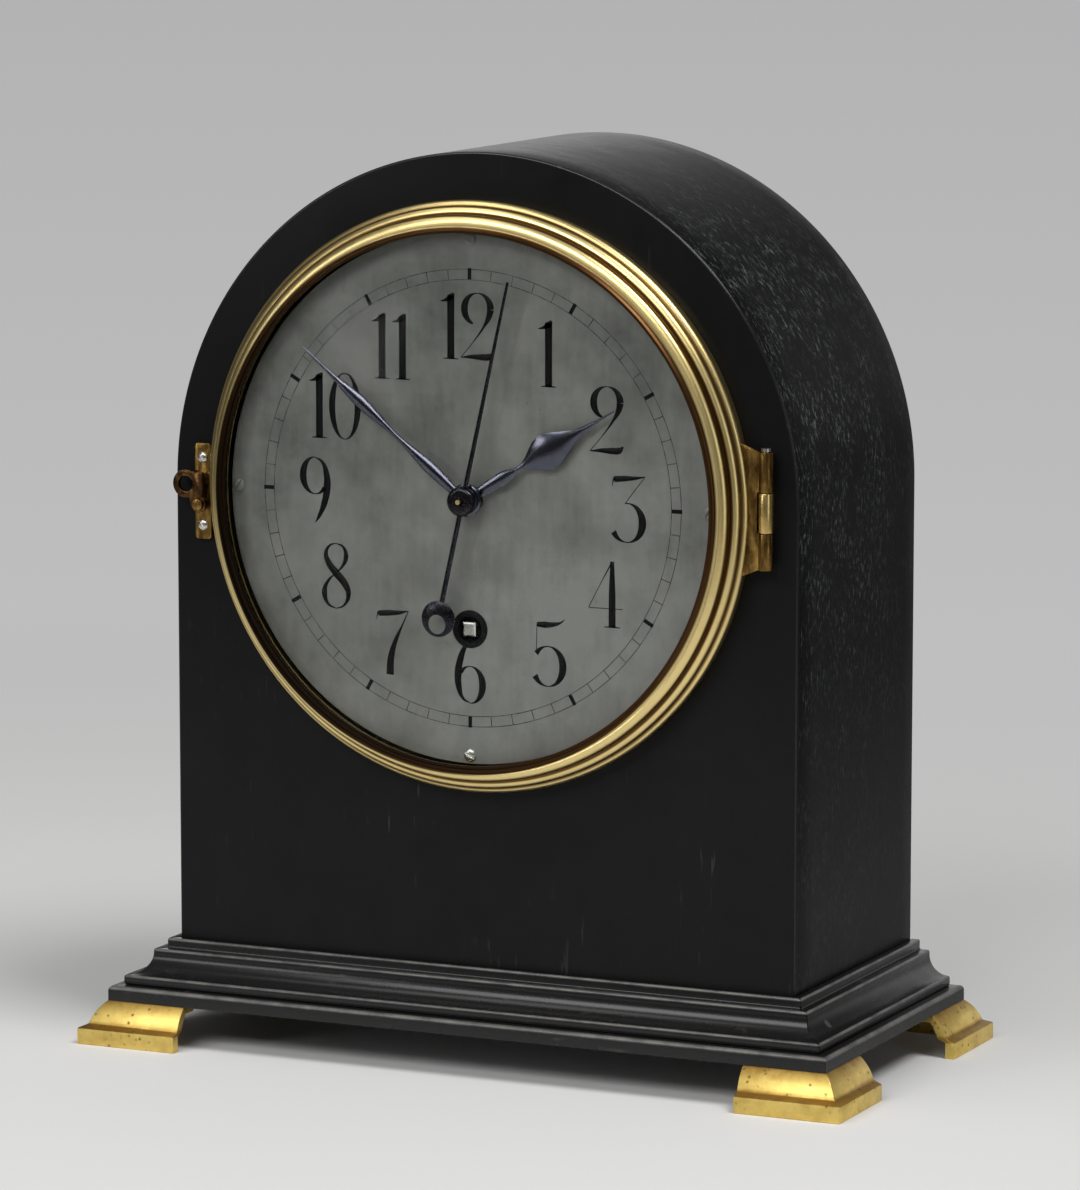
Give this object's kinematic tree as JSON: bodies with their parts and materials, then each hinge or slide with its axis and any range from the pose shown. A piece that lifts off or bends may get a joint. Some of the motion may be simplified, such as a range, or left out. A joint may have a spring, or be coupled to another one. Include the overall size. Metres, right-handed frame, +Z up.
{
  "type": "arched mantel clock",
  "caption": "Ebonised arched-top mantel clock with round silvered dial, hinged brass bezel, blued hands and moulded brass feet; spring-driven timepiece with centre seconds.",
  "frame": {"origin": "on the table, in the middle of the footprint of the feet", "axes": "+Z up, the dial faces -Y, +X to the right seen from the front"},
  "size_m": [0.2336, 0.1168, 0.2557],
  "materials": {
    "ebonised_wood": "black stained, satin polish",
    "polished_brass": "polished and lacquered",
    "movement_brass": "satin",
    "bright_steel": "bright turned",
    "blued_steel": "heat blued and polished",
    "silvered_dial": "matt silvered, toned grey",
    "clear_glass": "clear convex"
  },
  "bodies": {
    "case": {"back_frame": "ebonised_wood", "back_hinge_frame_leaves": "polished_brass", "back_plate": "movement_brass", "balance_cock": "movement_brass", "base_slab": "ebonised_wood", "case_front_board": "ebonised_wood", "case_shell": "ebonised_wood", "click_spring": "bright_steel", "dial_feet": "movement_brass", "dial_mount_ring": "ebonised_wood", "dial_plate": "silvered_dial", "dial_screws": "bright_steel", "escapement_plate": "movement_brass", "foot_front_left": "polished_brass", "foot_front_right": "polished_brass", "foot_rear_left": "polished_brass", "foot_rear_right": "polished_brass", "foot_screws": "bright_steel", "front_plate": "movement_brass", "hairspring": "bright_steel", "hinge_leaf_case": "polished_brass", "hinge_pin": "bright_steel", "latch_plate": "polished_brass", "latch_screws": "bright_steel", "plate_nuts": "bright_steel", "plate_pillars": "movement_brass", "plinth_front": "ebonised_wood", "plinth_left": "ebonised_wood", "plinth_right": "ebonised_wood", "turn_button_screw": "bright_steel"},
    "bezel": {"bezel_ring": "polished_brass", "bezel_glass": "clear_glass", "glass_retainer": "polished_brass", "hinge_leaf_bezel": "polished_brass", "bezel_catch": "polished_brass"},
    "latch_hook": {"latch_hook": "polished_brass"},
    "back_door": {"back_door": "ebonised_wood", "back_door_knob": "polished_brass", "back_hinge_door_leaves": "polished_brass"},
    "turn_button": {"turn_button": "polished_brass"},
    "seconds": {"fourth_wheel": "movement_brass", "seconds_hand": "blued_steel"},
    "third": {"third_wheel": "movement_brass"},
    "minutes": {"centre_wheel": "movement_brass", "cannon_pinion": "bright_steel", "minute_hand": "blued_steel"},
    "intermediate": {"intermediate_wheel": "movement_brass"},
    "barrel": {"barrel": "movement_brass", "barrel_cover": "movement_brass", "mainspring": "bright_steel"},
    "escape": {"escape_wheel": "movement_brass"},
    "minute_wheel": {"minute_wheel": "movement_brass"},
    "hours": {"hour_wheel": "movement_brass", "hour_hand": "blued_steel"},
    "winding": {"barrel_arbor": "bright_steel", "ratchet_wheel": "bright_steel"},
    "click": {"click": "bright_steel"},
    "lever": {"pallet_lever": "bright_steel"},
    "balance": {"balance_wheel": "movement_brass"}
  },
  "joints": [
    {"name": "bezel_hinge", "type": "hinge", "parent": "case", "child": "bezel", "pos_m": [0.08699, -0.04055, 0.1608], "axis": [0, 0, 1], "range_deg": [0, 110]},
    {"name": "latch_pivot", "type": "hinge", "parent": "case", "child": "latch_hook", "pos_m": [-0.08569, -0.0396, 0.1543], "axis": [0, 1, 0], "range_deg": [-30, 12]},
    {"name": "back_door_hinge", "type": "hinge", "parent": "case", "child": "back_door", "pos_m": [0.07989, 0.05175, 0.1608], "axis": [0, 0, -1], "range_deg": [0, 110]},
    {"name": "turn_button_pivot", "type": "hinge", "parent": "case", "child": "turn_button", "pos_m": [-0.08424, 0.04945, 0.1008], "axis": [0, 1, 0], "range_deg": [0, 90]},
    {"name": "seconds_arbor", "type": "hinge", "parent": "case", "child": "seconds", "pos_m": [0, 0, 0.1608], "axis": [0, 1, 0], "continuous": true},
    {"name": "third_arbor", "type": "hinge", "parent": "case", "child": "third", "pos_m": [-0.01746, 0, 0.17088], "axis": [0, 1, 0], "continuous": true},
    {"name": "minute_arbor", "type": "hinge", "parent": "case", "child": "minutes", "pos_m": [0, 0, 0.1608], "axis": [0, 1, 0], "continuous": true},
    {"name": "intermediate_arbor", "type": "hinge", "parent": "case", "child": "intermediate", "pos_m": [-0.01494, 0, 0.14411], "axis": [0, 1, 0], "continuous": true},
    {"name": "barrel_turn", "type": "hinge", "parent": "case", "child": "barrel", "pos_m": [0, 0, 0.1247], "axis": [0, 1, 0], "continuous": true},
    {"name": "escape_arbor", "type": "hinge", "parent": "case", "child": "escape", "pos_m": [0.01351, 0, 0.17214], "axis": [0, 1, 0], "continuous": true},
    {"name": "minute_wheel_stud", "type": "hinge", "parent": "case", "child": "minute_wheel", "pos_m": [0.012, 0, 0.1608], "axis": [0, 1, 0], "continuous": true},
    {"name": "hour_pipe", "type": "hinge", "parent": "case", "child": "hours", "pos_m": [0, 0, 0.1608], "axis": [0, 1, 0], "continuous": true},
    {"name": "winding_arbor", "type": "hinge", "parent": "case", "child": "winding", "pos_m": [0, 0, 0.1247], "axis": [0, 1, 0], "range_deg": [0, 1800]},
    {"name": "click_stud", "type": "hinge", "parent": "case", "child": "click", "pos_m": [0.0064, 0, 0.13578], "axis": [0, 1, 0], "range_deg": [-10, 0]},
    {"name": "lever_arbor", "type": "hinge", "parent": "case", "child": "lever", "pos_m": [0.0115, 0, 0.18356], "axis": [0, 1, 0], "range_deg": [-4, 4]},
    {"name": "balance_staff", "type": "hinge", "parent": "case", "child": "balance", "pos_m": [0.00931, 0, 0.19597], "axis": [0, 1, 0], "range_deg": [-220, 220], "stiffness_Nm_per_rad": 0.00012}
  ],
  "couplings": [
    {"joint": "third_arbor", "follows": "seconds_arbor", "ratio": -0.13333},
    {"joint": "minute_arbor", "follows": "seconds_arbor", "ratio": 0.016667},
    {"joint": "intermediate_arbor", "follows": "seconds_arbor", "ratio": -0.0027778},
    {"joint": "barrel_turn", "follows": "seconds_arbor", "ratio": 0.00046296},
    {"joint": "escape_arbor", "follows": "seconds_arbor", "ratio": -8},
    {"joint": "minute_wheel_stud", "follows": "seconds_arbor", "ratio": -0.0055556},
    {"joint": "hour_pipe", "follows": "seconds_arbor", "ratio": 0.0013889}
  ]
}
